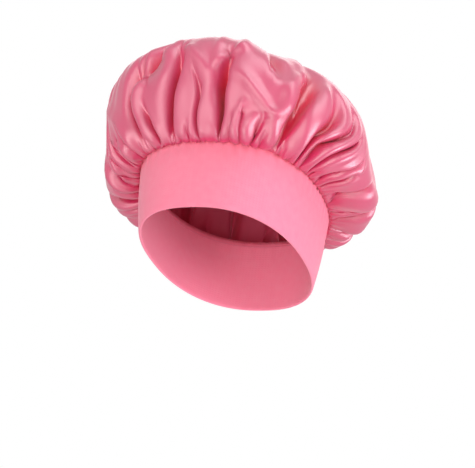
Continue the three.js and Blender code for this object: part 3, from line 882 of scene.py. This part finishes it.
def stitch_tree():
    tree = bpy.data.node_groups.new("sew_stitches", "GeometryNodeTree")
    add_input(tree, "Path", "NodeSocketGeometry")
    names = {key: add_input(tree, title, "NodeSocketFloat", value) for key, title, value in stitch_sizes}
    names["material"] = add_input(tree, "Material", "NodeSocketMaterial")
    tree.interface.new_socket(name="Stitches", in_out="OUTPUT", socket_type="NodeSocketGeometry")
    given = add_node(tree, "NodeGroupInput").outputs
    # the path, with a point at every stitch
    curve = add_node(tree, "GeometryNodeMeshToCurve", {"Mesh": given["Path"]})
    spaced = add_node(tree, "GeometryNodeResampleCurve", {"Curve": curve, "Length": given["Pitch"]},
                      mode="LENGTH")
    # one stitch: an arch of thread along X that rises towards Z
    half = add_node(tree, "ShaderNodeMath", {0: given["Stitch length"]}, operation="MULTIPLY", in_1=0.5)
    back = add_node(tree, "ShaderNodeMath", {0: half}, operation="MULTIPLY", in_1=-1.0)
    start, end = (add_node(tree, "ShaderNodeCombineXYZ", {"X": reach}) for reach in (back, half))
    lift = add_node(tree, "ShaderNodeMath", {0: given["Rise"]}, operation="MULTIPLY", in_1=4 / 3)
    rise = add_node(tree, "ShaderNodeCombineXYZ", {"Z": lift})
    over_start = add_node(tree, "ShaderNodeVectorMath", {0: start, 1: rise})
    over_end = add_node(tree, "ShaderNodeVectorMath", {0: end, 1: rise})
    arch = add_node(tree, "GeometryNodeCurvePrimitiveBezierSegment",
                    {"Start": start, "Start Handle": over_start, "End Handle": over_end, "End": end},
                    in_Resolution=7)
    radius = add_node(tree, "ShaderNodeMath", {0: given["Thread thickness"]}, operation="MULTIPLY",
                      in_1=0.5)
    section = add_node(tree, "GeometryNodeCurvePrimitiveCircle", {"Radius": radius}, in_Resolution=6)
    stitch = add_node(tree, "GeometryNodeCurveToMesh", {"Curve": arch, "Profile Curve": section},
                      in_Fill_Caps=True)
    # its turn: Z along the path's attribute, X along the path, then the turn that was asked for
    outside = add_node(tree, "GeometryNodeInputNamedAttribute", data_type="FLOAT_VECTOR",
                       in_Name="outside")
    tangent = add_node(tree, "GeometryNodeInputTangent")
    face_out = add_node(tree, "FunctionNodeAlignRotationToVector", {"Vector": outside}, axis="Z")
    along = add_node(tree, "FunctionNodeAlignRotationToVector", {"Rotation": face_out, "Vector": tangent},
                     axis="X", pivot_axis="Z")
    twist = add_node(tree, "ShaderNodeCombineXYZ", {"Z": given["Turn across the path"]})
    turned = add_node(tree, "FunctionNodeRotateRotation", {"Rotation": along, "Rotate By": twist},
                      rotation_space="LOCAL")
    row = add_node(tree, "GeometryNodeInstanceOnPoints",
                   {"Points": spaced, "Instance": stitch, "Rotation": turned})
    real = add_node(tree, "GeometryNodeRealizeInstances", {"Geometry": row})
    smooth = add_node(tree, "GeometryNodeSetShadeSmooth", {"Geometry": real})
    finish = add_node(tree, "GeometryNodeSetMaterial",
                      {"Geometry": smooth, "Material": given["Material"]})
    add_node(tree, "NodeGroupOutput", {"Stitches": finish})
    return tree, names


sewing, sewing_inputs = stitch_tree()


def sew(name, path_points, outside, closed=True, **sizes):
    """sews stitches along path_points (mm), lifted towards outside; sizes are in mm, turn in radians"""
    count = len(path_points)
    edges = [(i, (i + 1) % count) for i in range(count if closed else count - 1)]
    mesh = bpy.data.meshes.new(name)
    mesh.from_pydata([tuple(p) for p in np.array(path_points) * MILLIMETRE], edges, [])
    layer = mesh.attributes.new("outside", "FLOAT_VECTOR", "POINT")
    layer.data.foreach_set("vector", np.array(outside).ravel())
    piece = new_object(name, mesh)
    modifier = piece.modifiers.new("sewing", "NODES")
    modifier.node_group = sewing
    for key, value in sizes.items():
        modifier[sewing_inputs[key]] = value if key == "turn" else value * MILLIMETRE
    modifier[sewing_inputs["material"]] = sewing_thread
    finish_modifiers(piece)
    print(name, len(piece.data.polygons), "faces")
    return piece


def seam_path(out, height, count=720):
    turns = np.linspace(0, 2 * np.pi, count, endpoint=False)
    return seam_ring(turns, out, height), ring(1, turns, 0, 0)


# %% Sew the four threads
# the needle row lies on the band's inner face, half a millimetre over the seam line
inner_face = -(2 * knit_thickness + ply_gap)
points, outside = seam_path(inner_face - 0.35, band_height + 0.5)
needle_thread = sew("needle_stitches", points, -outside, pitch=2.4, length=2.1, rise=0.2, thread=0.5)
# the overlock straddles the raw edges of both plies and of the satin
raw_middle = 0.3 - (knit_thickness + ply_gap / 2)
points, outside = seam_path(raw_middle, raw_edge_height - 3.6)
upwards = outside * 0 + np.array([0.0, 0.0, 1.0])
overlock_thread = sew("overlock_loops", points, upwards, pitch=1.6, length=5.2, rise=4.4, thread=0.45,
                      turn=math.pi / 2)
# the gathering thread runs through the satin just over the seam, in longer stitches
points, outside = seam_path(1.9, band_height + 1.6)
gathering_thread = sew("gathering_stitches", points, outside, pitch=6.0, length=4.4, rise=0.2,
                       thread=0.45)
# the back seam climbs between the plies at the nape
nape_heights = np.linspace(1.6, band_height - 0.8, 40)
nape_share = nape_heights / band_height
nape_radius = rim_half_length + (seam_half_length - rim_half_length) * nape_share
nape_radius -= knit_thickness + ply_gap / 2
points = np.stack([0 * nape_heights, nape_radius - seam_set_forward * nape_share, nape_heights], -1)
outside = points * 0 + np.array([0.0, 1.0, 0.0])
back_thread = sew("back_seam_stitches", points, outside, closed=False,
                  pitch=2.4, length=2.0, rise=0.1, thread=0.4)

# %% [markdown]
# ## What each piece stands for
# Every piece rides on the one body, and takes the place of the plain solid that the imported model
# keeps for collision.

# %% Pieces and what they replace
stand_ins = [
    (crown, "crown_panel", "satin"), (headband, "headband", "knit"),
    (overlock_thread, "overlock_looper_thread", "thread"),
    (needle_thread, "seam_needle_thread", "thread"),
    (gathering_thread, "gathering_thread", "thread"), (back_thread, "back_seam_thread", "thread"),
]
for piece, node, material_slot in stand_ins:
    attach(piece, "root")
    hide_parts(node)
print("pieces:", [piece.name for piece, _, _ in stand_ins])

# %% [markdown]
# ## Camera
# The camera stands 1.5 m off, in front, a little to the wearer's left and well below the rim, and
# it is rolled. A cap that is worn tipped back looks so from straight ahead. Its axis goes through
# the pixel that axis_column and axis_row name, and the lens is shifted to match.

# %% Camera
azimuth, elevation, roll = math.radians(24.165), math.radians(-26.518), math.radians(10.263)
level = Vector((math.cos(azimuth), math.sin(azimuth), 0))
forward = Vector((-math.sin(azimuth), math.cos(azimuth), 0))
back = -forward * math.cos(elevation) + Vector((0, 0, math.sin(elevation)))
rise = back.cross(level)
camera_right = level * math.cos(roll) + rise * math.sin(roll)
camera_up = -level * math.sin(roll) + rise * math.cos(roll)
distance = 1.5
pixels_per_metre = 1122
image_width, image_height = 475, 468
axis_column, axis_row = 226.98, 261.65
lens_data = bpy.data.cameras.new("camera")
camera = new_object("camera", lens_data)
axes = Matrix((camera_right, camera_up, back)).transposed().to_4x4()
camera.matrix_world = Matrix.Translation(back * distance) @ axes
lens_data.sensor_width = 36
lens_data.lens = lens_data.sensor_width * distance * pixels_per_metre / image_width
lens_data.shift_x = (image_width / 2 - axis_column) / image_width
lens_data.shift_y = (axis_row - image_height / 2) / image_width
bpy.context.scene.camera = camera
print(f"camera with a lens of {lens_data.lens:.0f} mm")

# %% [markdown]
# ## Floor and room
# The floor is pale backdrop paper, level and 1.6 m under the rim. The camera looks up past the cap
# and sees the room, not the floor, but the paper gives the cap some light back from below. To soft
# light it is matte and the room is dim. To the camera, and in reflections on the satin, both are
# clean white. One shader switch does that, where a picture of a white room would need a file.

# %% Floor and room
def shown_as(tree, plain, clean, share=1.0):
    """gives plain to soft light, and a share of clean to the camera and to reflections"""
    rays = add_node(tree, "ShaderNodeLightPath").outputs
    seen = add_node(tree, "ShaderNodeMath", {0: rays["Is Camera Ray"], 1: rays["Is Glossy Ray"]},
                    operation="MAXIMUM")
    part = add_node(tree, "ShaderNodeMath", {0: seen}, operation="MULTIPLY", in_1=share)
    return add_node(tree, "ShaderNodeMixShader", {0: part, 1: plain, 2: clean})


floor_height, floor_reach = -1.6, 12
sides = [(-1, -1), (1, -1), (1, 1), (-1, 1)]
floor_mesh = bpy.data.meshes.new("floor")
corners = [(x * floor_reach, y * floor_reach, floor_height) for x, y in sides]
floor_mesh.from_pydata(corners, [], [(0, 1, 2, 3)])
floor = new_object("floor", floor_mesh)
material, tree = new_material("backdrop_paper_matte_white")
paper = add_node(tree, "ShaderNodeBsdfPrincipled", in_Base_Color=linear("#F4F4F4"), in_Roughness=0.9)
white = add_node(tree, "ShaderNodeEmission", in_Strength=1.0)
add_node(tree, "ShaderNodeOutputMaterial", {"Surface": shown_as(tree, paper, white, 0.92)})
floor_mesh.materials.append(material)
world = bpy.data.worlds.new("studio")
bpy.context.scene.world = world
world.use_nodes = True
tree = world.node_tree
tree.nodes.clear()
room = add_node(tree, "ShaderNodeBackground", in_Color=(1, 1, 1, 1), in_Strength=0.35)
clean = add_node(tree, "ShaderNodeBackground", in_Color=(1, 1, 1, 1), in_Strength=1.0)
add_node(tree, "ShaderNodeOutputWorld", {"Surface": shown_as(tree, room, clean)})
print("floor and room made")

# %% [markdown]
# ## Softboxes
# The lamps are large discs, as studio softboxes are, so that the satin gets long soft highlights.
# The key is warm and above the camera, the fill is cooler and from the side, a low one opens the
# shadow under the folds, and the top and back ones keep those sides from going grey.

# %% Softboxes
worn_up = Vector((0.0173, -0.4738, 0.8805)).normalized()
warm, cool = (1, 0.97, 0.94), (0.92, 0.95, 1)


def softbox(name, place, size, power, colour):
    lamp = bpy.data.lights.new(name, "AREA")
    lamp.shape, lamp.size, lamp.energy, lamp.color = "DISK", size, power, colour
    facing_cap = (-place).to_track_quat("-Z", "Y").to_matrix().to_4x4()
    new_object(name, lamp).matrix_world = Matrix.Translation(place) @ facing_cap


softbox("key_softbox", back * 1.5 + worn_up * 0.45 - camera_right * 0.5, 1.7, 13, warm)
softbox("fill_softbox", back * 0.5 + camera_right * 1.6 - worn_up * 0.5, 1.2, 22, cool)
softbox("low_softbox", back * 0.9 - worn_up * 0.5 - camera_right * 0.8, 0.8, 4, warm)
softbox("top_softbox", worn_up * 1.5 + camera_right * 0.9 + back * 0.5, 1.4, 11, (0.94, 0.96, 1))
softbox("back_softbox", back * -1.4 + worn_up * 0.4 + camera_right * 0.3, 1.8, 8, (1, 0.97, 0.95))
bpy.context.scene.view_settings.view_transform = "Standard"
print("stage ready")
